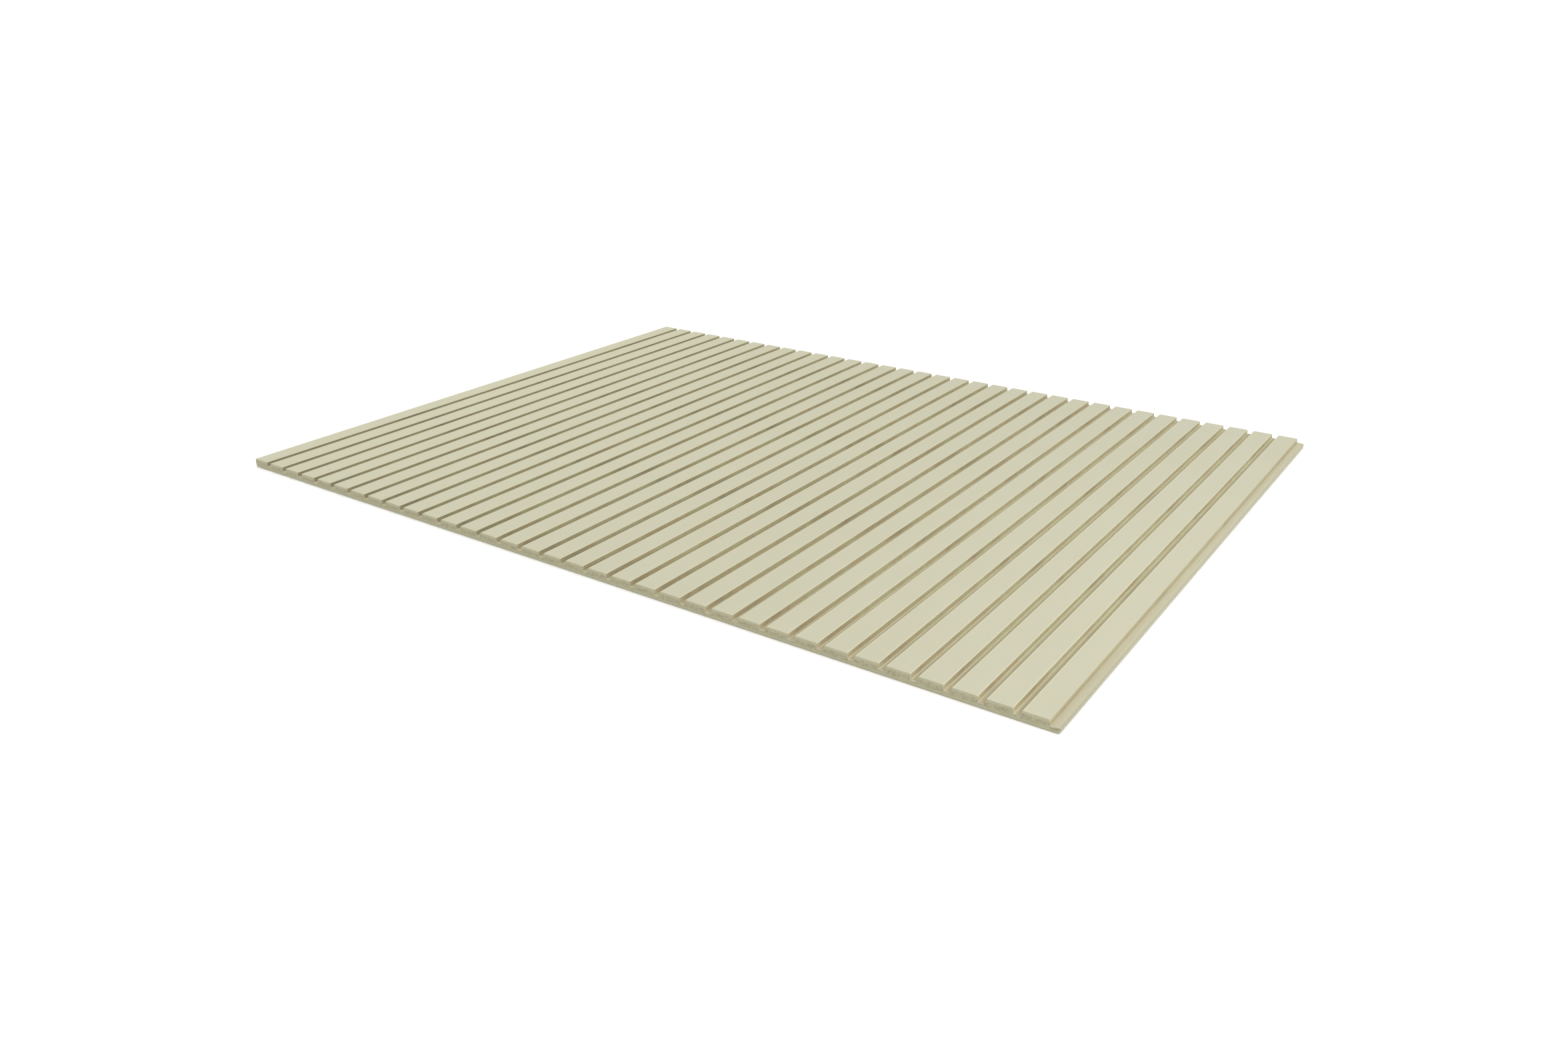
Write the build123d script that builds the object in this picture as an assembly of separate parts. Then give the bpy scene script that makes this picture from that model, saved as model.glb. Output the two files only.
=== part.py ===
from build123d import *
import os

# Slatted wall panel: one sheet of fibreboard with square grooves machined into its face.
# X runs across the slats with the lip at +X, Y runs along the slats, Z is up.
# The origin is at the middle of the flat back, which lies on the floor.

# Driving dimensions of the sheet
PANEL_WIDTH = 1220.0  # across the slats, lip included
PANEL_LENGTH = 915.0  # along the slats
PANEL_THICKNESS = 12.0

# Driving dimensions of the machining
SLAT_COUNT = 34
GROOVE_WIDTH = 8.6
GROOVE_DEPTH = 6.0
LIP_WIDTH = 10.5  # thin edge that becomes the floor of one more groove at a joint

# Radii that the cutters and the sanding leave
SLAT_ARRIS_RADIUS = 0.6
GROOVE_ROOT_RADIUS = 0.6
LIP_ROOT_RADIUS = 2.0
LIP_NOSE_RADIUS = 2.2
LIP_HEEL_RADIUS = 2.0
LIP_CORNER_RADIUS = 2.5  # seen from above, at both ends of the lip

# Sizes and places that follow
GROOVE_COUNT = SLAT_COUNT - 1
SLAT_WIDTH = (PANEL_WIDTH - LIP_WIDTH - GROOVE_COUNT * GROOVE_WIDTH) / SLAT_COUNT
SLAT_PITCH = SLAT_WIDTH + GROOVE_WIDTH
LEFT_EDGE = -PANEL_WIDTH / 2
RIGHT_EDGE = PANEL_WIDTH / 2
FIRST_GROOVE_CENTRE = LEFT_EDGE + SLAT_WIDTH + GROOVE_WIDTH / 2


def groove_cutter():
    """One groove's section, hung from the panel's face at X = 0, with rounded roots."""
    blank = Rectangle(GROOVE_WIDTH, GROOVE_DEPTH, align=(Align.CENTER, Align.MAX))
    roots = blank.vertices().group_by(Axis.Y)[0]
    return fillet(roots, GROOVE_ROOT_RADIUS)


def rebate_cutter():
    """The section cut away above the lip, with a rounded root at the last slat's foot."""
    blank = Rectangle(LIP_WIDTH, GROOVE_DEPTH, align=(Align.MAX, Align.MAX))
    root = blank.vertices().group_by(Axis.Y)[0].sort_by(Axis.X)[0]
    return fillet(root, LIP_ROOT_RADIUS)


def panel_section():
    """The whole section across the slats: X across, Y up from the back."""
    section = Rectangle(PANEL_WIDTH, PANEL_THICKNESS, align=(Align.CENTER, Align.MIN))

    groove = groove_cutter()
    centres = [FIRST_GROOVE_CENTRE + index * SLAT_PITCH for index in range(GROOVE_COUNT)]
    section -= [Pos(centre, PANEL_THICKNESS) * groove for centre in centres]
    section -= Pos(RIGHT_EDGE, PANEL_THICKNESS) * rebate_cutter()

    arrises = section.vertices().group_by(Axis.Y)[-1]
    section = fillet(arrises, SLAT_ARRIS_RADIUS)
    nose = section.vertices().group_by(Axis.X)[-1].sort_by(Axis.Y)[-1]
    section = fillet(nose, LIP_NOSE_RADIUS)
    heel = section.vertices().group_by(Axis.Y)[0].sort_by(Axis.X)[-1]
    return fillet(heel, LIP_HEEL_RADIUS)


def lip_corner_cutter():
    """What is taken off the lip's corner at +X and +Y to round it, seen from above."""
    blank = Rectangle(2 * LIP_CORNER_RADIUS, 2 * LIP_CORNER_RADIUS, align=(Align.MIN, Align.MIN))
    blank -= Circle(LIP_CORNER_RADIUS)
    centre = Pos(RIGHT_EDGE - LIP_CORNER_RADIUS, PANEL_LENGTH / 2 - LIP_CORNER_RADIUS)
    return extrude(centre * blank, PANEL_THICKNESS, both=True)


def slatted_panel():
    """The section run along the slats, centred on the origin, with the lip's corners rounded."""
    panel = extrude(Plane.XZ * panel_section(), PANEL_LENGTH / 2, both=True)
    corner = lip_corner_cutter()
    return panel - [corner, mirror(corner, Plane.XZ)]


os.makedirs("parts", exist_ok=True)
export_step(slatted_panel(), "parts/slatted_panel.step")
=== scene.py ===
import math
from typing import NamedTuple

import bpy
import numpy as np
from mathutils import Matrix, Vector


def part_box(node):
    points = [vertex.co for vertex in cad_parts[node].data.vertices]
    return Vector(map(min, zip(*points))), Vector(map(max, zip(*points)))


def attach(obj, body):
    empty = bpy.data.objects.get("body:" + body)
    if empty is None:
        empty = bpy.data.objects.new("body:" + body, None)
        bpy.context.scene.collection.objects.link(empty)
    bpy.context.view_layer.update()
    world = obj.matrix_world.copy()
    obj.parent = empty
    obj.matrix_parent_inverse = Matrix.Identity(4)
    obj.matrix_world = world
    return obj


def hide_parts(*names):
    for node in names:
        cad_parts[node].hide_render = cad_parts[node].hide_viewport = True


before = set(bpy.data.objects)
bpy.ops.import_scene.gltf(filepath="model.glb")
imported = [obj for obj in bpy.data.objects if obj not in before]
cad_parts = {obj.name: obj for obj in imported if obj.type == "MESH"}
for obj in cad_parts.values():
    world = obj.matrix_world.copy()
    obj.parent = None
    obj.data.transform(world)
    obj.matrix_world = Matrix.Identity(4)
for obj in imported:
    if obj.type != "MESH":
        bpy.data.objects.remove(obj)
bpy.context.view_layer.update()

# The slatted wall panel lies flat on the floor, slats up.
# X runs across the slats with the lip at +X, Y runs along them, and every length is in metres.

NODE = "slatted_panel"
BODY = "root"
PANEL_SEED = 34
BURR_SEED = 35

# Outer faces of the panel, from the frame
LOW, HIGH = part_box(NODE)
LEFT, RIGHT = LOW.x, HIGH.x
FRONT, REAR = LOW.y, HIGH.y
BOTTOM, TOP = LOW.z, HIGH.z

# Machined section
SLAT_COUNT = 34
GROOVE_WIDTH = 0.0086
GROOVE_DEPTH = 0.006
LIP_WIDTH = 0.0105
SLAT_ARRIS = 0.0006
LAST_ARRIS = 0.0014  # the last slat's outer arris, beside the lip, is rounder than the others
GROOVE_ROOT = 0.0006
LIP_ROOT = 0.002
LIP_NOSE = 0.0022
LIP_HEEL = 0.002
LIP_CORNER = 0.0025
GROOVE_COUNT = SLAT_COUNT - 1
SLAT_WIDTH = (RIGHT - LEFT - LIP_WIDTH - GROOVE_COUNT * GROOVE_WIDTH) / SLAT_COUNT
SLAT_PITCH = SLAT_WIDTH + GROOVE_WIDTH
FLOOR_LEVEL = TOP - GROOVE_DEPTH
LIP_SIDE = RIGHT - LIP_WIDTH  # where the last slat ends and the lip begins
NOSE_START = RIGHT - LIP_NOSE

# How finely the section, the length and the sawn ends are divided
ARC_STEPS = 4
LIP_ARC_STEPS = 8
SLAT_STEPS = 20
WALL_STEPS = 4
FLOOR_STEPS = 6
EDGE_STEPS = 6
LENGTH_STEPS = 4
GUARD = 0.0001  # how close the first and last points of a straight stretch stand to its ends
END_HEIGHTS = (0, 0.04, 0.12, 0.25, 0.4, 0.55, 0.7, 0.85, 0.95, 1)  # shares from the back to the outline
CLIMB_SHARE = 0.15  # what a climb counts beside the same way across, when points are spread over the back
SHARP_ANGLE = 35.0  # in degrees

# Relief of the sawn ends, measured inwards from the end planes, and how often it is smoothed
END_SAW_DEPTH = 0.00012
END_TOP_WEAR = 0.00022
END_BOTTOM_WEAR = 0.00045
SAW_SMOOTHING = 1
WEAR_SMOOTHING = 2

# Surfaces of the panel, in the order of the material slots
FACE, GROOVE, SAWN, BACK = range(4)


def line_points(start, end, steps):
    """Points from start to end, without the start. The first and last stand close to the ends as guards."""
    start, end = np.array(start), np.array(end)
    guard = GUARD / np.linalg.norm(end - start)
    share = np.append(np.linspace(guard, 1 - guard, steps), 1)[:, None]
    return start + share * (end - start)


def arc_points(centre, radius, first, last, steps):
    """Points on an arc from one angle to another in degrees, without the first."""
    angle = np.radians(np.linspace(first, last, steps + 1)[1:])
    return np.array(centre) + radius * np.stack([np.cos(angle), np.sin(angle)], 1)


def panel_outline():
    """The section from the bottom left corner over the slats to the lip's heel, and each step's surface."""
    points = [np.array([[LEFT, BOTTOM]])]
    surfaces = []

    def add(surface, new):
        points.append(new)
        surfaces.extend([surface] * len(new))

    shoulder = TOP - SLAT_ARRIS
    add(SAWN, line_points((LEFT, BOTTOM), (LEFT, shoulder), EDGE_STEPS))
    for index in range(SLAT_COUNT):
        left = LEFT + index * SLAT_PITCH
        right = left + SLAT_WIDTH
        arris = LAST_ARRIS if index == GROOVE_COUNT else SLAT_ARRIS
        add(FACE, arc_points((left + SLAT_ARRIS, shoulder), SLAT_ARRIS, 180, 90, ARC_STEPS))
        add(FACE, line_points((left + SLAT_ARRIS, TOP), (right - arris, TOP), SLAT_STEPS))
        add(FACE, arc_points((right - arris, TOP - arris), arris, 90, 0, ARC_STEPS))
        if index == GROOVE_COUNT:
            break
        far = right + GROOVE_WIDTH
        root = FLOOR_LEVEL + GROOVE_ROOT
        floor_start = (right + GROOVE_ROOT, FLOOR_LEVEL)
        floor_end = (far - GROOVE_ROOT, FLOOR_LEVEL)
        add(GROOVE, line_points((right, shoulder), (right, root), WALL_STEPS))
        add(GROOVE, arc_points((right + GROOVE_ROOT, root), GROOVE_ROOT, 180, 270, ARC_STEPS))
        add(GROOVE, line_points(floor_start, floor_end, FLOOR_STEPS))
        add(GROOVE, arc_points((far - GROOVE_ROOT, root), GROOVE_ROOT, 270, 360, ARC_STEPS))
        add(GROOVE, line_points((far, root), (far, shoulder), WALL_STEPS))

    root = FLOOR_LEVEL + LIP_ROOT
    nose = FLOOR_LEVEL - LIP_NOSE
    heel = BOTTOM + LIP_HEEL
    add(GROOVE, line_points((right, TOP - LAST_ARRIS), (right, root), WALL_STEPS))
    add(GROOVE, arc_points((right + LIP_ROOT, root), LIP_ROOT, 180, 270, LIP_ARC_STEPS))
    add(GROOVE, line_points((right + LIP_ROOT, FLOOR_LEVEL), (NOSE_START, FLOOR_LEVEL), FLOOR_STEPS))
    add(GROOVE, arc_points((NOSE_START, nose), LIP_NOSE, 90, 0, LIP_ARC_STEPS))
    add(GROOVE, line_points((RIGHT, nose), (RIGHT, heel), EDGE_STEPS))
    add(GROOVE, arc_points((RIGHT - LIP_HEEL, heel), LIP_HEEL, 0, -90, LIP_ARC_STEPS))
    return np.concatenate(points), surfaces


def back_points(outline):
    """A point of the back for every point of the outline, spread so that the two keep abreast."""
    travel = np.abs(np.diff(outline, axis=0)) @ np.array([1, CLIMB_SHARE])
    share = np.concatenate([[0], np.cumsum(travel)]) / travel.sum()
    across = LEFT + share * (outline[-1, 0] - LEFT)
    return np.stack([across, np.full(len(outline), BOTTOM)], 1)


def swept(points, along):
    """Points of the section, each repeated at every place along Y."""
    x = np.repeat(points[:, 0], len(along))
    z = np.repeat(points[:, 1], len(along))
    return np.stack([x, np.tile(along, len(points)), z], 1)


def smooth_noise(random, shape, passes):
    """A grid of random values from 0 to 1, smoothed by averaging neighbours."""
    grid = random.random(shape)
    for _ in range(passes):
        grid = (grid + np.roll(grid, 1, 0) + np.roll(grid, -1, 0)) / 3
        grid = (grid + np.roll(grid, 1, 1) + np.roll(grid, -1, 1)) / 3
    return (grid - grid.min()) / (grid.max() - grid.min())


def corner_inset(x):
    """How far the end lies back at each x, where the lip's corner is rounded."""
    past = np.clip(x - (RIGHT - LIP_CORNER), 0, LIP_CORNER)
    return LIP_CORNER - np.sqrt(LIP_CORNER ** 2 - past ** 2)


def end_relief(random, places):
    """How far each place on a sawn end lies back: saw marks, worn edge lines and the lip's corner."""
    count, heights = places.shape[:2]
    relief = END_SAW_DEPTH * smooth_noise(random, (count, heights), SAW_SMOOTHING)
    relief[:, -1] += END_TOP_WEAR * smooth_noise(random, (count, 1), WEAR_SMOOTHING)[:, 0]
    relief[:, 0] += END_BOTTOM_WEAR * smooth_noise(random, (count, 1), WEAR_SMOOTHING)[:, 0]
    return relief + corner_inset(places[..., 0])


def grid_faces(grid):
    """Faces between the rows and columns of a grid of vertex numbers. Repeated corners drop out."""
    corners = np.stack([grid[:-1, :-1], grid[1:, :-1], grid[1:, 1:], grid[:-1, 1:]], -1)
    return [tuple(dict.fromkeys(face)) for face in corners.reshape(-1, 4).tolist()]


def turned(faces):
    """The same faces, looking the other way."""
    return [face[::-1] for face in faces]


def panel_mesh():
    """One closed mesh: the section run along Y, the back, and two sawn ends with their own relief."""
    random = np.random.default_rng(PANEL_SEED)
    outline, surfaces = panel_outline()
    below = back_points(outline)
    along = np.linspace(FRONT, REAR, LENGTH_STEPS + 1)
    count = len(outline)
    rows = len(along)

    # Vertex numbers of the outline and the back, which share their first and last rows
    top = np.arange(count * rows).reshape(count, rows)
    inner_back = top.size + np.arange((count - 2) * rows).reshape(count - 2, rows)
    bottom = np.vstack([top[:1], inner_back, top[-1:]])
    used = top.size + inner_back.size
    vertices = [swept(outline, along), swept(below[1:-1], along)]
    faces = grid_faces(top) + turned(grid_faces(bottom))
    slots = [surface for surface in surfaces for _ in range(rows - 1)]
    slots += [BACK] * (count - 1) * (rows - 1)

    # Each end spans from the back to the outline, which meet in one point at either side
    height = np.array(END_HEIGHTS)[None, :, None]
    levels = len(END_HEIGHTS) - 2
    places = below[:, None] + height * (outline - below)[:, None]
    inner_places = places[1:-1, 1:-1].reshape(-1, 2)
    rims = []
    for row, plane, inward in ((0, FRONT, 1), (rows - 1, REAR, -1)):
        inner = used + np.arange((count - 2) * levels).reshape(count - 2, levels)
        used += inner.size
        inner = np.vstack([np.full(levels, top[0, row]), inner, np.full(levels, top[-1, row])])
        grid = np.column_stack([bottom[:, row], inner, top[:, row]])
        depth = plane + inward * end_relief(random, places)
        vertices.append(np.stack([inner_places[:, 0], depth[1:-1, 1:-1].ravel(), inner_places[:, 1]], 1))
        rims.append((row, depth))
        end_faces = [face for face in grid_faces(grid) if len(face) > 2]
        faces += end_faces if inward > 0 else turned(end_faces)
        slots += [SAWN] * len(end_faces)

    vertices = np.concatenate(vertices)
    for row, depth in rims:
        vertices[bottom[:, row], 1] = depth[:, 0]
        vertices[top[:, row], 1] = depth[:, -1]

    mesh = bpy.data.meshes.new("panel_board")
    mesh.from_pydata(vertices.tolist(), [], faces)
    mesh.polygons.foreach_set("material_index", slots)
    mesh.polygons.foreach_set("use_smooth", [True] * len(faces))
    mesh.set_sharp_from_angle(angle=math.radians(SHARP_ANGLE))
    mesh.update()
    return mesh


# Materials
NOISE_ROUGHNESS = 0.55


class Grain(NamedTuple):
    """A noise pattern: its scale on each axis, its detail, and the noise at which it starts and is full."""

    scale: tuple
    detail: float
    start: float
    full: float


class Shader:
    """A material's node tree with a Principled surface, and short ways to add nodes to it."""

    def __init__(self, name):
        self.material = bpy.data.materials.new(name)
        self.material.use_nodes = True
        self.tree = self.material.node_tree
        self.surface = self.tree.nodes["Principled BSDF"]
        self.place = self.tree.nodes.new("ShaderNodeTexCoord").outputs["Object"]

    def link(self, source, socket):
        """Links an output to a socket."""
        self.tree.links.new(source, socket)

    def feed(self, socket, value):
        """Links an output to a socket, or sets the socket to a plain value."""
        if isinstance(value, bpy.types.NodeSocket):
            self.link(value, socket)
        else:
            socket.default_value = value

    def axis(self, name):
        """One object coordinate."""
        node = self.tree.nodes.new("ShaderNodeSeparateXYZ")
        self.link(self.place, node.inputs["Vector"])
        return node.outputs[name]

    def upward(self):
        """How far the surface faces up, from -1 to 1."""
        geometry = self.tree.nodes.new("ShaderNodeNewGeometry")
        node = self.tree.nodes.new("ShaderNodeSeparateXYZ")
        self.link(geometry.outputs["Normal"], node.inputs["Vector"])
        return node.outputs["Z"]

    def span(self, value, ends, origin=0.0, bottom=0.0, top=1.0):
        """Goes from bottom to top while a value goes between two ends, which are measured from an origin."""
        start, full = ends
        node = self.tree.nodes.new("ShaderNodeMapRange")
        self.feed(node.inputs["Value"], value)
        node.inputs["From Min"].default_value = origin + start
        node.inputs["From Max"].default_value = origin + full
        node.inputs["To Min"].default_value = bottom
        node.inputs["To Max"].default_value = top
        return node.outputs["Result"]

    def between(self, mask, low, high):
        """A mask made to run from low to high."""
        return self.span(mask, (0.0, 1.0), bottom=low, top=high)

    def grain(self, grain, low=0.0, high=1.0):
        """A noise pattern, drawn out along the axes, that runs from low to high."""
        drawn_out = self.tree.nodes.new("ShaderNodeVectorMath")
        drawn_out.operation = "MULTIPLY"
        self.link(self.place, drawn_out.inputs[0])
        drawn_out.inputs[1].default_value = grain.scale
        noise = self.tree.nodes.new("ShaderNodeTexNoise")
        self.link(drawn_out.outputs["Vector"], noise.inputs["Vector"])
        noise.inputs["Scale"].default_value = 1.0
        noise.inputs["Detail"].default_value = grain.detail
        noise.inputs["Roughness"].default_value = NOISE_ROUGHNESS
        return self.span(noise.outputs["Fac"], (grain.start, grain.full), bottom=low, top=high)

    def math(self, operation, first, second):
        """Two values put together, each a number or a node's output."""
        node = self.tree.nodes.new("ShaderNodeMath")
        node.operation = operation
        self.feed(node.inputs[0], first)
        self.feed(node.inputs[1], second)
        return node.outputs["Value"]

    def times(self, first, *others):
        """The product of masks, each a number or a node's output."""
        product = first
        for other in others:
            product = self.math("MULTIPLY", product, other)
        return product

    def inverse(self, mask):
        """What a mask leaves out."""
        return self.math("SUBTRACT", 1.0, mask)

    def layer(self, under, over, mask, strength=1.0):
        """One colour laid over another where a mask is. A colour is plain or another node's output."""
        node = self.tree.nodes.new("ShaderNodeMix")
        node.data_type = "RGBA"
        self.feed(node.inputs["Factor"], self.times(mask, strength))
        self.feed(node.inputs["A"], colour(under))
        self.feed(node.inputs["B"], colour(over))
        return node.outputs["Result"]

    def bump(self, height, distance, strength):
        """Fine relief of the surface, from a pattern."""
        node = self.tree.nodes.new("ShaderNodeBump")
        node.inputs["Strength"].default_value = strength
        node.inputs["Distance"].default_value = distance
        self.link(height, node.inputs["Height"])
        self.link(node.outputs["Normal"], self.surface.inputs["Normal"])

    def finish(self, base, roughness):
        """Sets the surface's colour and roughness, and gives the material."""
        self.feed(self.surface.inputs["Base Color"], base)
        self.feed(self.surface.inputs["Roughness"], roughness)
        return self.material


def colour(value):
    """A plain colour with its alpha, or a node's output as it is."""
    if isinstance(value, bpy.types.NodeSocket):
        return value
    return (*value, 1.0)


# Colours of the board, as linear light
FACE_PALE = (0.447, 0.432, 0.304)
FACE_DEEP = (0.418, 0.402, 0.270)
FACE_WARM = (0.447, 0.427, 0.303)
FACE_COOL = (0.437, 0.434, 0.299)
FACE_FLECK = (0.362, 0.336, 0.215)
FACE_PAINTED_LIGHT = (0.478, 0.466, 0.382)
FACE_EDGE_HIGHLIGHT = (0.545, 0.520, 0.362)
WALL_OLIVE = (0.405, 0.404, 0.242)
WALL_BROWN = (0.392, 0.316, 0.188)
WALL_DARK = (0.240, 0.203, 0.114)
WALL_SCORCH = (0.185, 0.122, 0.068)
WALL_SHADE_AND_SCORCH = (0.145, 0.127, 0.073)
FLOOR_PALE = (0.530, 0.497, 0.327)
FLOOR_OLIVE = (0.437, 0.403, 0.248)
FLOOR_CREAM = (0.650, 0.610, 0.420)
LIP_PALE = (0.455, 0.435, 0.310)
LIP_YELLOW = (0.420, 0.390, 0.263)
LIP_EDGE = (0.297, 0.284, 0.200)
END_PALE = (0.425, 0.405, 0.272)
END_OLIVE = (0.340, 0.316, 0.200)
END_SPECK = (0.178, 0.158, 0.085)
FIBRE_PALE = (0.590, 0.548, 0.415)
FIBRE_DEEP = (0.383, 0.338, 0.225)
FUZZ_TINT = (1.0, 0.94, 0.70)


def slat_place(shader):
    """Distance across from the left side of the slat that a point belongs to."""
    across = shader.math("SUBTRACT", shader.axis("X"), LEFT)
    return shader.math("FLOORED_MODULO", across, SLAT_PITCH)


# Sanded face
CLOUD_GRAIN = Grain((14, 9, 14), 2, 0.35, 0.65)
TINT_GRAIN = Grain((38, 26, 38), 2, 0.35, 0.65)
FACE_FIBRE_GRAIN = Grain((900, 420, 900), 4, 0.3, 0.7)
FLECK_GRAIN = Grain((1500, 330, 1500), 2, 0.66, 0.74)
HIGHLIGHT_WIDTH = 0.0020  # painted highlight along both sides of a slat
UNHIGHLIGHTED = (-0.003, -0.004)  # from the lip's side: the last slat has no painted highlight there
ARRIS_TURN = (0.97, 0.2)  # how far up an arris faces where its tone begins and is full
# how far up the last arris faces where its painted shade begins and is full
LAST_ARRIS_SHADE_TURN = (0.98, 0.5)


def face_material():
    """Sanded face: even fibre with faint clouds and flecks, painted light towards the lip, a painted
    highlight on both edges of every slat and painted shade on the last arris.
    """
    shader = Shader("sanded_face")
    fibre = shader.grain(FACE_FIBRE_GRAIN)
    base = shader.layer(FACE_WARM, FACE_COOL, shader.grain(TINT_GRAIN))
    base = shader.layer(base, FACE_PALE, 1.0, strength=0.4)
    # painted light: the faces turn paler towards the lip, the side the key softbox lights
    base = shader.layer(base, FACE_PAINTED_LIGHT, shader.span(shader.axis("X"), (LEFT, RIGHT)), strength=0.3)
    base = shader.layer(base, FACE_DEEP, shader.grain(CLOUD_GRAIN), strength=0.25)
    base = shader.layer(base, FACE_DEEP, fibre, strength=0.22)
    base = shader.layer(base, FACE_FLECK, shader.grain(FLECK_GRAIN), strength=0.25)

    place = slat_place(shader)
    left_edge = shader.span(place, (HIGHLIGHT_WIDTH, SLAT_ARRIS))
    right_edge = shader.span(place, (-HIGHLIGHT_WIDTH, -SLAT_ARRIS), origin=SLAT_WIDTH)
    off_lip = shader.span(shader.axis("X"), UNHIGHLIGHTED, origin=LIP_SIDE)
    # painted highlight along both edges of every slat, except beside the lip
    edge_highlight = shader.times(shader.math("MAXIMUM", left_edge, right_edge), off_lip)
    base = shader.layer(base, FACE_EDGE_HIGHLIGHT, edge_highlight, strength=0.65)
    base = shader.layer(base, WALL_OLIVE, shader.span(shader.upward(), ARRIS_TURN), strength=0.7)
    # painted shade on the last slat's rounder arris beside the lip
    last_arris_shade = shader.times(shader.span(shader.upward(), LAST_ARRIS_SHADE_TURN), shader.inverse(off_lip))
    base = shader.layer(base, WALL_DARK, last_arris_shade, strength=0.28)
    shader.bump(fibre, distance=0.00003, strength=0.6)
    return shader.finish(base, shader.between(fibre, 0.58, 0.72))


# Scorched marks of the feed: their spacing, the first one's distance from the front, and their slant
FEED_STEP = 0.260
FEED_START = 0.248
FEED_SLANT = 0.04
FEED_RISE = (0.0, 0.015)  # from a mark's start: where it begins and is full
FEED_FADE = (0.100, 0.035)  # from the same start: where it ends and is still full
BLOTCH_GRAIN = Grain((60, 48, 60), 2, 0.38, 0.62)


def feed_marks(shader):
    """Scorched stretches of the walls, sharp where each step of the feed began and then fading."""
    slant = shader.times(shader.axis("X"), FEED_SLANT)
    along = shader.math("SUBTRACT", shader.axis("Y"), FRONT + FEED_START)
    since = shader.math("FLOORED_MODULO", shader.math("SUBTRACT", along, slant), FEED_STEP)
    begun = shader.span(since, FEED_RISE)
    lasting = shader.span(since, FEED_FADE)
    return shader.times(begun, lasting, shader.grain(BLOTCH_GRAIN, low=0.35))


# Lint in the grooves' roots, partly a painted highlight: its reach from the walls and the floor, and where
# the painted highlight strengthens it across the panel
LINT_REACH = 0.0028
LINT_FULL = 0.0008
LINT_HEIGHT = (0.0009, 0.0003)
LINT_HIGHLIGHT_ACROSS = (0.22, 0.36)
LINT_GRAIN = Grain((240, 24, 240), 2, 0.35, 0.65)


def root_lint_and_highlight(shader):
    """Pale lint along both roots of a groove, with a painted highlight that makes it stronger in the grooves
    towards the lip.
    """
    place = slat_place(shader)
    from_left = shader.span(place, (LINT_REACH, LINT_FULL), origin=SLAT_WIDTH)
    from_right = shader.span(place, (-LINT_REACH, -LINT_FULL), origin=SLAT_PITCH)
    near_wall = shader.math("MAXIMUM", from_left, from_right)
    low = shader.span(shader.axis("Z"), LINT_HEIGHT, origin=FLOOR_LEVEL)
    clots = shader.grain(LINT_GRAIN, low=0.50, high=0.95)
    # painted highlight: the lint grows stronger towards the lip
    across = shader.span(shader.axis("X"), LINT_HIGHLIGHT_ACROSS, bottom=0.1)
    return shader.times(near_wall, low, clots, across)


# Routed grooves and lip: where each tone begins and is full
STREAK_GRAIN = Grain((620, 16, 620), 3, 0.32, 0.68)
PATCH_GRAIN = Grain((60, 62, 60), 3, 0.38, 0.62)
SHADE_GRAIN = Grain((13, 11, 13), 2, 0.40, 0.66)
GROOVE_FIBRE_GRAIN = Grain((1700, 380, 1700), 3, 0.3, 0.7)
BROWNED = (-0.20, 0.20)  # across the panel, towards the lip
PAINTED_SHADE_ACROSS = (0.05, LEFT + 0.05)  # painted shade, across the panel towards the plain edge
ENTRY = (0.11, 0.04)  # from the front
WALL_FOOT = (-0.001, -0.0045)  # from the face
GROOVE_FLOOR_SHADE = (0.0015, 0.0035)  # painted shade on a floor towards the next slat: from a groove's left wall
LIP_WALL = (-0.0004, -0.0002)  # from the lip's side, as the next one
LIP_TOP = (-0.0002, 0.0008)
LIP_WALL_SHADE = (TOP - 0.001, FLOOR_LEVEL + LIP_ROOT)
LIP_TOP_SHADE = (LIP_SIDE + 0.004, NOSE_START)
LIP_OUTSIDE = (-0.0015, 0.0005)  # from where the nose starts
LIP_CONTACT_SHADE = (0.0022, 0.0008)  # painted contact shadow along the lip's bottom edge: from the back
FLOOR_TURN = (0.45, 0.97)  # how far up the surface faces where wall turns into floor
LIP_TURN = (0.80, 0.998)
FUZZ_WEIGHT = 0.35  # sheen of the raised fibre
FUZZ_ROUGHNESS = 0.5


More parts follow.
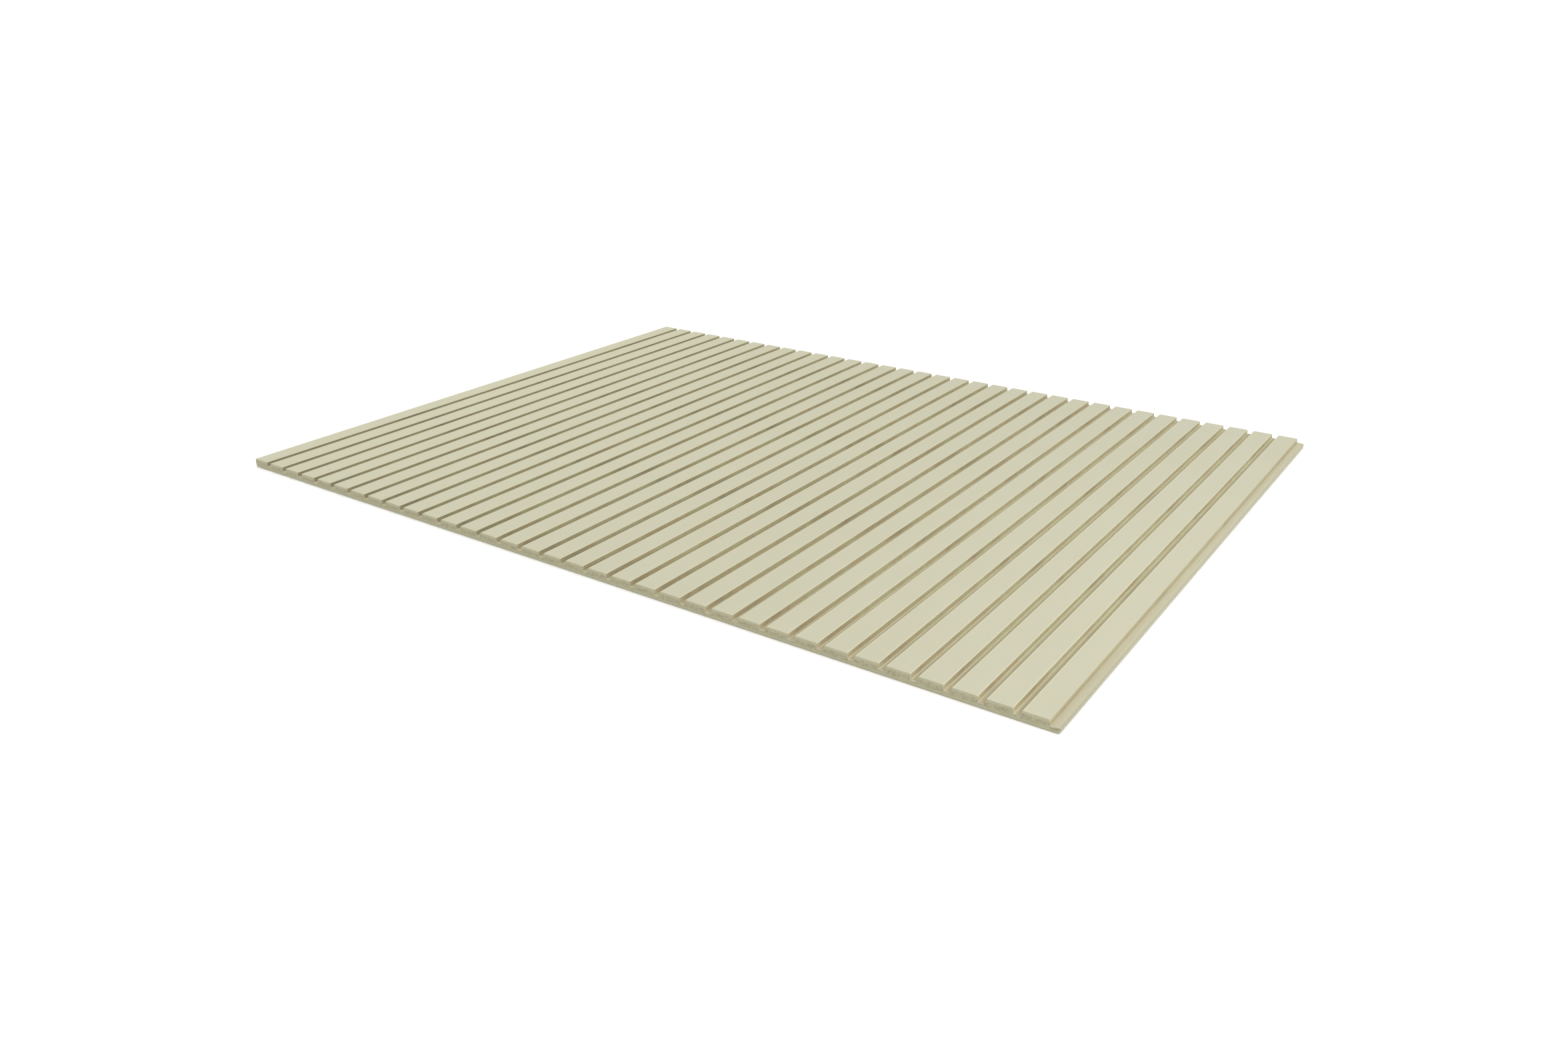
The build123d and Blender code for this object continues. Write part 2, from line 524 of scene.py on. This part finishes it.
def groove_wall(shader, streaks, patches, beside_lip):
    """Tones of the walls: painted shade towards the plain edge, browner at the front, scorched by the feed,
    with painted shade beside the lip and a painted contact shadow under the lip.
    """
    across = shader.axis("X")
    height = shader.axis("Z")
    browned = shader.span(across, BROWNED)
    entry = shader.span(shader.axis("Y"), ENTRY, origin=FRONT)
    wall = shader.layer(WALL_BROWN, WALL_OLIVE, patches)
    wall = shader.layer(wall, WALL_DARK, streaks, strength=0.35)
    wall = shader.layer(wall, WALL_DARK, shader.grain(SHADE_GRAIN), strength=0.22)
    wall = shader.layer(wall, WALL_BROWN, shader.times(entry, browned), strength=0.6)
    # painted shade: the walls darker towards the plain edge
    wall = shader.layer(wall, WALL_SHADE_AND_SCORCH, shader.span(across, PAINTED_SHADE_ACROSS), strength=0.50)
    # scorch of the feed marks, in the painted shade's tone towards the plain edge
    scorch = shader.layer(WALL_SHADE_AND_SCORCH, WALL_SCORCH, browned)
    wall = shader.layer(wall, scorch, feed_marks(shader), strength=0.55)
    wall = shader.layer(wall, FLOOR_PALE, shader.span(height, WALL_FOOT, origin=TOP), strength=0.25)

    shade = shader.span(height, LIP_WALL_SHADE, bottom=0.25, top=0.60)
    wall = shader.layer(wall, WALL_DARK, shader.times(beside_lip, shade))
    # painted contact shadow along the bottom of the lip's outside
    contact_shade = shader.span(height, LIP_CONTACT_SHADE, origin=BOTTOM)
    outside = shader.layer(LIP_EDGE, END_SPECK, contact_shade, strength=0.75)
    return shader.layer(wall, outside, shader.span(across, LIP_OUTSIDE, origin=NOSE_START))


def groove_floor(shader, streaks, patches, fibre):
    """Tones of the floors, with lint and a painted highlight in their roots and painted shade towards the
    next slat, and of the lip's top with painted shade towards its nose.
    """
    across = shader.axis("X")
    right_wall_shade = shader.span(slat_place(shader), GROOVE_FLOOR_SHADE, origin=SLAT_WIDTH)
    floor = shader.layer(FLOOR_OLIVE, FLOOR_PALE, streaks)
    floor = shader.layer(floor, FLOOR_PALE, patches, strength=0.35)
    # painted shade: the floor darker away from the left wall, under the next slat
    floor = shader.layer(floor, WALL_DARK, right_wall_shade, strength=0.14)
    floor = shader.layer(floor, FLOOR_CREAM, root_lint_and_highlight(shader))
    lip = shader.layer(LIP_YELLOW, LIP_PALE, streaks)
    lip = shader.layer(lip, LIP_EDGE, shader.span(across, LIP_TOP_SHADE), strength=0.26)
    floor = shader.layer(floor, lip, shader.span(across, LIP_TOP, origin=LIP_SIDE))
    return shader.layer(floor, WALL_BROWN, fibre, strength=0.10)


def groove_material():
    """Raw routed board: brown streaky walls, paler floors, and the cutter's marks along the length."""
    shader = Shader("routed_groove")
    streaks = shader.grain(STREAK_GRAIN)
    patches = shader.grain(PATCH_GRAIN)
    fibre = shader.grain(GROOVE_FIBRE_GRAIN)
    beside_lip = shader.span(shader.axis("X"), LIP_WALL, origin=LIP_SIDE)
    wall = groove_wall(shader, streaks, patches, beside_lip)
    floor = groove_floor(shader, streaks, patches, fibre)
    in_groove = shader.times(shader.span(shader.upward(), FLOOR_TURN), shader.inverse(beside_lip))
    level = shader.math("MAXIMUM", in_groove, shader.span(shader.upward(), LIP_TURN))
    base = shader.layer(wall, floor, level)
    shader.surface.inputs["Sheen Weight"].default_value = FUZZ_WEIGHT
    shader.surface.inputs["Sheen Roughness"].default_value = FUZZ_ROUGHNESS
    shader.surface.inputs["Sheen Tint"].default_value = colour(FUZZ_TINT)
    shader.bump(shader.math("ADD", streaks, fibre), distance=0.00007, strength=0.7)
    return shader.finish(base, shader.between(fibre, 0.72, 0.9))


# Sawn ends and plain edge: where each tone begins and is full
END_FIBRE_GRAIN = Grain((620, 620, 1900), 4, 0.3, 0.7)
CLUMP_GRAIN = Grain((260, 260, 420), 2, 0.35, 0.65)
SPECK_GRAIN = Grain((480, 480, 720), 3, 0.45, 0.62)
CORE_LOW = (0.0020, 0.0052)  # from the back
CORE_HIGH = (-0.0012, -0.0042)  # from the face
LIP_END = (0.0, 0.003)  # from the lip's side
LIP_END_LOW = (0.0012, 0.0030)  # from the back
RIM_START = (-0.0003, 0.0009)  # from a groove's left wall
RIM_END = (-0.0010, -0.0040)  # from its right wall
RIM_DEPTH = (-0.0016, -0.0005)  # from its floor
END_CONTACT_SHADE = (0.0007, 0.0002)  # painted contact shadow along the bottom edge: from the back


def end_material():
    """Sawn edge: dense pale skins, a coarse speckled core, a pale torn rim under each groove and a painted
    contact shadow along the bottom.
    """
    shader = Shader("sawn_edge")
    height = shader.axis("Z")
    fibre = shader.grain(END_FIBRE_GRAIN)
    clumps = shader.grain(CLUMP_GRAIN)
    specks = shader.grain(SPECK_GRAIN)
    above_skin = shader.span(height, CORE_LOW, origin=BOTTOM)
    below_skin = shader.span(height, CORE_HIGH, origin=TOP)
    core = shader.times(above_skin, below_skin)
    base = shader.layer(END_PALE, END_OLIVE, fibre, strength=0.5)
    base = shader.layer(base, END_OLIVE, core, strength=0.5)
    crowding = shader.times(shader.between(core, 0.05, 0.75), shader.between(clumps, 0.45, 1.0))
    base = shader.layer(base, END_SPECK, shader.times(specks, crowding))

    past_slat = shader.span(shader.axis("X"), LIP_END, origin=LIP_SIDE)
    off_bottom = shader.span(height, LIP_END_LOW, origin=BOTTOM)
    base = shader.layer(base, END_SPECK, shader.times(past_slat, off_bottom), strength=0.4)

    place = slat_place(shader)
    from_wall = shader.span(place, RIM_START, origin=SLAT_WIDTH)
    to_wall = shader.span(place, RIM_END, origin=SLAT_PITCH)
    under_floor = shader.span(height, RIM_DEPTH, origin=FLOOR_LEVEL)
    torn = shader.between(clumps, 0.15, 0.80)
    base = shader.layer(base, FIBRE_PALE, shader.times(from_wall, to_wall, under_floor, torn))
    # painted contact shadow along the bottom edge of the sawn ends
    base = shader.layer(base, END_SPECK, shader.span(height, END_CONTACT_SHADE, origin=BOTTOM), strength=0.45)
    shader.bump(shader.math("SUBTRACT", fibre, specks), distance=0.00012, strength=0.8)
    return shader.finish(base, shader.between(fibre, 0.75, 0.92))


# Plain back
BACK_CLOUD_GRAIN = Grain((10, 6, 10), 3, 0.35, 0.65)
BACK_FIBRE_GRAIN = Grain((700, 260, 700), 4, 0.3, 0.7)


def back_material():
    """Plain back: a sanded face without the last fine sanding."""
    shader = Shader("plain_back")
    fibre = shader.grain(BACK_FIBRE_GRAIN)
    base = shader.layer(FACE_PALE, FACE_DEEP, shader.grain(BACK_CLOUD_GRAIN), strength=0.5)
    base = shader.layer(base, FACE_FLECK, fibre, strength=0.3)
    shader.bump(fibre, distance=0.00004, strength=0.7)
    return shader.finish(base, shader.between(fibre, 0.62, 0.78))


# Torn fibre
TORN_GRAIN = Grain((1500, 1500, 1500), 3, 0.3, 0.7)


def fibre_material():
    """Torn fibre that the cutter pushes up where it leaves the board."""
    shader = Shader("torn_fibre")
    tone = shader.grain(TORN_GRAIN)
    base = shader.layer(FIBRE_DEEP, FIBRE_PALE, tone)
    shader.bump(tone, distance=0.00008, strength=0.8)
    return shader.finish(base, shader.between(tone, 0.8, 0.95))


def add_piece(name, mesh, materials):
    """Puts a mesh into the scene as a piece of the panel."""
    for material in materials:
        mesh.materials.append(material)
    piece = bpy.data.objects.new(name, mesh)
    bpy.context.scene.collection.objects.link(piece)
    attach(piece, BODY)
    return piece


def add_panel():
    """The panel itself, in place of its solid."""
    materials = (face_material(), groove_material(), end_material(), back_material())
    panel = add_piece("panel_board", panel_mesh(), materials)
    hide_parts(NODE)


# Ridge of torn fibre at a groove's mouth, along the wall's foot and the floor
BURR_RINGS = 15
BURR_FLOOR_STEPS = 12
BURR_CLIMB = 0.0016
BURR_HEIGHT = 0.00045
BURR_PEAK = 0.28  # place and spread of the highest stretch, as shares of the ridge's length
BURR_SPREAD = 0.16
BURR_EVEN = 0.55  # height away from there, as a share
BURR_RAGGED = (0.3, 1.2)  # least and most of the height from ring to ring, and from groove to groove
BURR_VARIETY = (0.4, 1.1)
BURR_SINK = 0.0002
BURR_ROOTS = (0.0009, 0.0001)  # depths behind the end of the points sunk into the board
BURR_CREST = ((0.45, 0.00005), (1.0, 0.00025), (0.6, 0.0006))  # share of the height, and depth
BURR_JITTER = (0.8, 1.2)  # least and most of a depth

# Single hairs of fibre that stand out of the ridge
HAIR_COUNT = 10
HAIR_LENGTH = 0.0011
HAIR_RADIUS = 0.00009
HAIR_PLACES = 40
HAIR_CROWDING = (1.6, 2.4)  # shape of the beta distribution of their places
HAIR_LEAN = 0.8
HAIR_VARIETY = (0.5, 1.3)  # least and most of the length
HAIR_DEPTHS = (0.0003, 0.0010)
HAIR_TIP_SHIFT = (-0.0005, 0.0004)
HAIR_LEAST_DEPTH = 0.00005


def burr_path(left, count):
    """Points along the foot of a groove's left wall and its floor, and the direction out of the board."""
    root = FLOOR_LEVEL + GROOVE_ROOT
    far = left + GROOVE_WIDTH - GROOVE_ROOT
    points = np.concatenate([
        [[left, root + BURR_CLIMB]],
        line_points((left, root + BURR_CLIMB), (left, root), WALL_STEPS),
        arc_points((left + GROOVE_ROOT, root), GROOVE_ROOT, 180, 270, ARC_STEPS),
        line_points((left + GROOVE_ROOT, FLOOR_LEVEL), (far, FLOOR_LEVEL), BURR_FLOOR_STEPS),
    ])
    steps = np.linalg.norm(np.diff(points, axis=0), axis=1)
    travel = np.concatenate([[0], np.cumsum(steps)])
    places = np.linspace(0, travel[-1], count)
    path = np.stack([np.interp(places, travel, points[:, axis]) for axis in (0, 1)], 1)
    tangent = np.gradient(path, axis=0)
    tangent /= np.linalg.norm(tangent, axis=1)[:, None]
    return path, np.stack([-tangent[:, 1], tangent[:, 0]], 1)


def burr_ridge(random, left, plane, inward):
    """Vertices and faces of one closed ridge, highest at the wall's foot and fading at both ends."""
    path, out = burr_path(left, BURR_RINGS)
    share = np.linspace(0, 1, BURR_RINGS)
    swell = np.exp(-((share - BURR_PEAK) / BURR_SPREAD) ** 2) + BURR_EVEN
    ragged = random.uniform(*BURR_RAGGED, BURR_RINGS)
    height = BURR_HEIGHT * swell * ragged * np.sqrt(np.sin(np.pi * share))
    height *= random.uniform(*BURR_VARIETY)
    vertices = []
    for point, normal, rise in zip(path, out, height):
        section = [(-BURR_SINK, depth) for depth in BURR_ROOTS]
        section += [(part * rise, depth) for part, depth in BURR_CREST]
        for lift, depth in section:
            spot = point + normal * lift
            depth *= random.uniform(*BURR_JITTER)
            vertices.append((spot[0], plane + inward * depth, spot[1]))
    sides = len(BURR_ROOTS) + len(BURR_CREST)
    grid = np.arange(BURR_RINGS * sides).reshape(BURR_RINGS, sides)
    faces = grid_faces(np.column_stack([grid, grid[:, :1]]))
    faces += [tuple(grid[0]), tuple(grid[-1][::-1])]
    return vertices, faces if inward > 0 else turned(faces)


def burr_hair(random, left, plane, inward):
    """One thin pointed fibre that stands out of the wall's foot or the floor beside the end."""
    path, out = burr_path(left, HAIR_PLACES)
    index = int((HAIR_PLACES - 1) * random.beta(*HAIR_CROWDING))
    outward = out[index]
    sideways = np.array([outward[1], -outward[0]])
    root = path[index] - outward * HAIR_RADIUS
    lean = outward + random.uniform(-HAIR_LEAN, HAIR_LEAN) * sideways
    length = HAIR_LENGTH * random.uniform(*HAIR_VARIETY)
    tip = root + lean / np.linalg.norm(lean) * length
    depth = random.uniform(*HAIR_DEPTHS)
    tip_depth = max(HAIR_LEAST_DEPTH, depth + random.uniform(*HAIR_TIP_SHIFT))
    low = root - sideways * HAIR_RADIUS
    high = root + sideways * HAIR_RADIUS
    vertices = [
        (low[0], plane + inward * depth, low[1]),
        (high[0], plane + inward * depth, high[1]),
        (root[0], plane + inward * (depth + 2 * HAIR_RADIUS), root[1]),
        (tip[0], plane + inward * tip_depth, tip[1]),
    ]
    faces = [(0, 2, 1), (0, 1, 3), (1, 2, 3), (2, 0, 3)]
    return vertices, faces if inward > 0 else turned(faces)


def burr_mesh():
    """The ridges and hairs of all groove mouths, at both ends, in one mesh."""
    random = np.random.default_rng(BURR_SEED)
    vertices, faces = [], []

    def add(part):
        start = len(vertices)
        vertices.extend(part[0])
        faces.extend(tuple(int(start + corner) for corner in face) for face in part[1])

    for index in range(GROOVE_COUNT):
        left = LEFT + index * SLAT_PITCH + SLAT_WIDTH
        for plane, inward in ((FRONT, 1), (REAR, -1)):
            add(burr_ridge(random, left, plane, inward))
            for _ in range(HAIR_COUNT):
                add(burr_hair(random, left, plane, inward))
    mesh = bpy.data.meshes.new("groove_burrs")
    mesh.from_pydata(vertices, [], faces)
    mesh.update()
    return mesh


def add_burrs():
    """The torn fibre at the groove mouths, as one piece."""
    add_piece("groove_burrs", burr_mesh(), [fibre_material()])


# Studio: a white room, a softbox beside the lip and a weaker one above the plain edge
FLOOR_HALF = 60.0
FLOOR_GAP = 0.0002
FLOOR_WHITE = (0.98, 0.98, 0.98)
FLOOR_SHADE = (0.9751, 0.9751, 0.9751)
FLOOR_ROUGHNESS = 0.9
FLOOR_GRAIN = Grain((0.7, 0.7, 0.7), 2, 0.3, 0.7)
ROOM_WHITE = (1.0, 1.0, 1.0)
ROOM_STRENGTH = 1.06
KEY_PLACE = (1.75, -0.30, 1.05)
KEY_TARGET = (0.3, 0.0, 0.0)
KEY_SIZE = 0.9
KEY_POWER = 12.0
FILL_PLACE = (-1.3, 0.2, 1.4)
FILL_TARGET = (-0.3, 0.0, 0.0)
FILL_SIZE = 1.2
FILL_POWER = 7.5


def add_floor():
    """A wide white floor, just below the panel's back."""
    shader = Shader("floor_white")
    shade = shader.layer(FLOOR_WHITE, FLOOR_SHADE, shader.grain(FLOOR_GRAIN))
    material = shader.finish(shade, FLOOR_ROUGHNESS)
    corners = ((-1, -1), (1, -1), (1, 1), (-1, 1))
    vertices = [(x * FLOOR_HALF, y * FLOOR_HALF, BOTTOM - FLOOR_GAP) for x, y in corners]
    mesh = bpy.data.meshes.new("studio_floor")
    mesh.from_pydata(vertices, [], [(0, 1, 2, 3)])
    mesh.materials.append(material)
    floor = bpy.data.objects.new("studio_floor", mesh)
    bpy.context.scene.collection.objects.link(floor)


def add_room():
    """An even white light from all sides."""
    world = bpy.data.worlds.new("white_room")
    world.use_nodes = True
    background = world.node_tree.nodes["Background"]
    background.inputs["Color"].default_value = colour(ROOM_WHITE)
    background.inputs["Strength"].default_value = ROOM_STRENGTH
    bpy.context.scene.world = world


def add_softbox(name, place, target, size, power):
    """A round softbox that the camera itself doesn't see."""
    lamp = bpy.data.lights.new(name, "AREA")
    lamp.shape = "DISK"
    lamp.size = size
    lamp.energy = power
    box = bpy.data.objects.new(name, lamp)
    toward = Vector(target) - Vector(place)
    box.matrix_world = Matrix.Translation(place) @ toward.to_track_quat("-Z", "Y").to_matrix().to_4x4()
    box.visible_camera = False
    bpy.context.scene.collection.objects.link(box)


# Camera at the photograph's place, with its angles in degrees and its lens in millimetres
CAMERA_PLACE = (0.9255, -1.3482, 0.6059)
CAMERA_HEADING = 34.70
CAMERA_TILT = 66.53
CAMERA_ROLL = -0.278
CAMERA_LENS = 27.46
SENSOR_WIDTH = 36.0
CLIP_START = 0.01
CLIP_END = 500.0


def add_camera():
    """The camera, turned by its heading, then its tilt and its roll."""
    lens = bpy.data.cameras.new("camera")
    lens.sensor_fit = "HORIZONTAL"
    lens.sensor_width = SENSOR_WIDTH
    lens.lens = CAMERA_LENS
    lens.clip_start = CLIP_START
    lens.clip_end = CLIP_END
    camera = bpy.data.objects.new("camera", lens)
    turn = Matrix.Rotation(math.radians(CAMERA_HEADING), 4, "Z")
    turn = turn @ Matrix.Rotation(math.radians(CAMERA_TILT), 4, "X")
    turn = turn @ Matrix.Rotation(math.radians(CAMERA_ROLL), 4, "Z")
    camera.matrix_world = Matrix.Translation(CAMERA_PLACE) @ turn
    bpy.context.scene.collection.objects.link(camera)
    bpy.context.scene.camera = camera


add_panel()
add_burrs()
add_floor()
add_room()
add_softbox("key_softbox", KEY_PLACE, KEY_TARGET, KEY_SIZE, KEY_POWER)
add_softbox("fill_softbox", FILL_PLACE, FILL_TARGET, FILL_SIZE, FILL_POWER)
add_camera()
bpy.context.scene.view_settings.view_transform = "Standard"
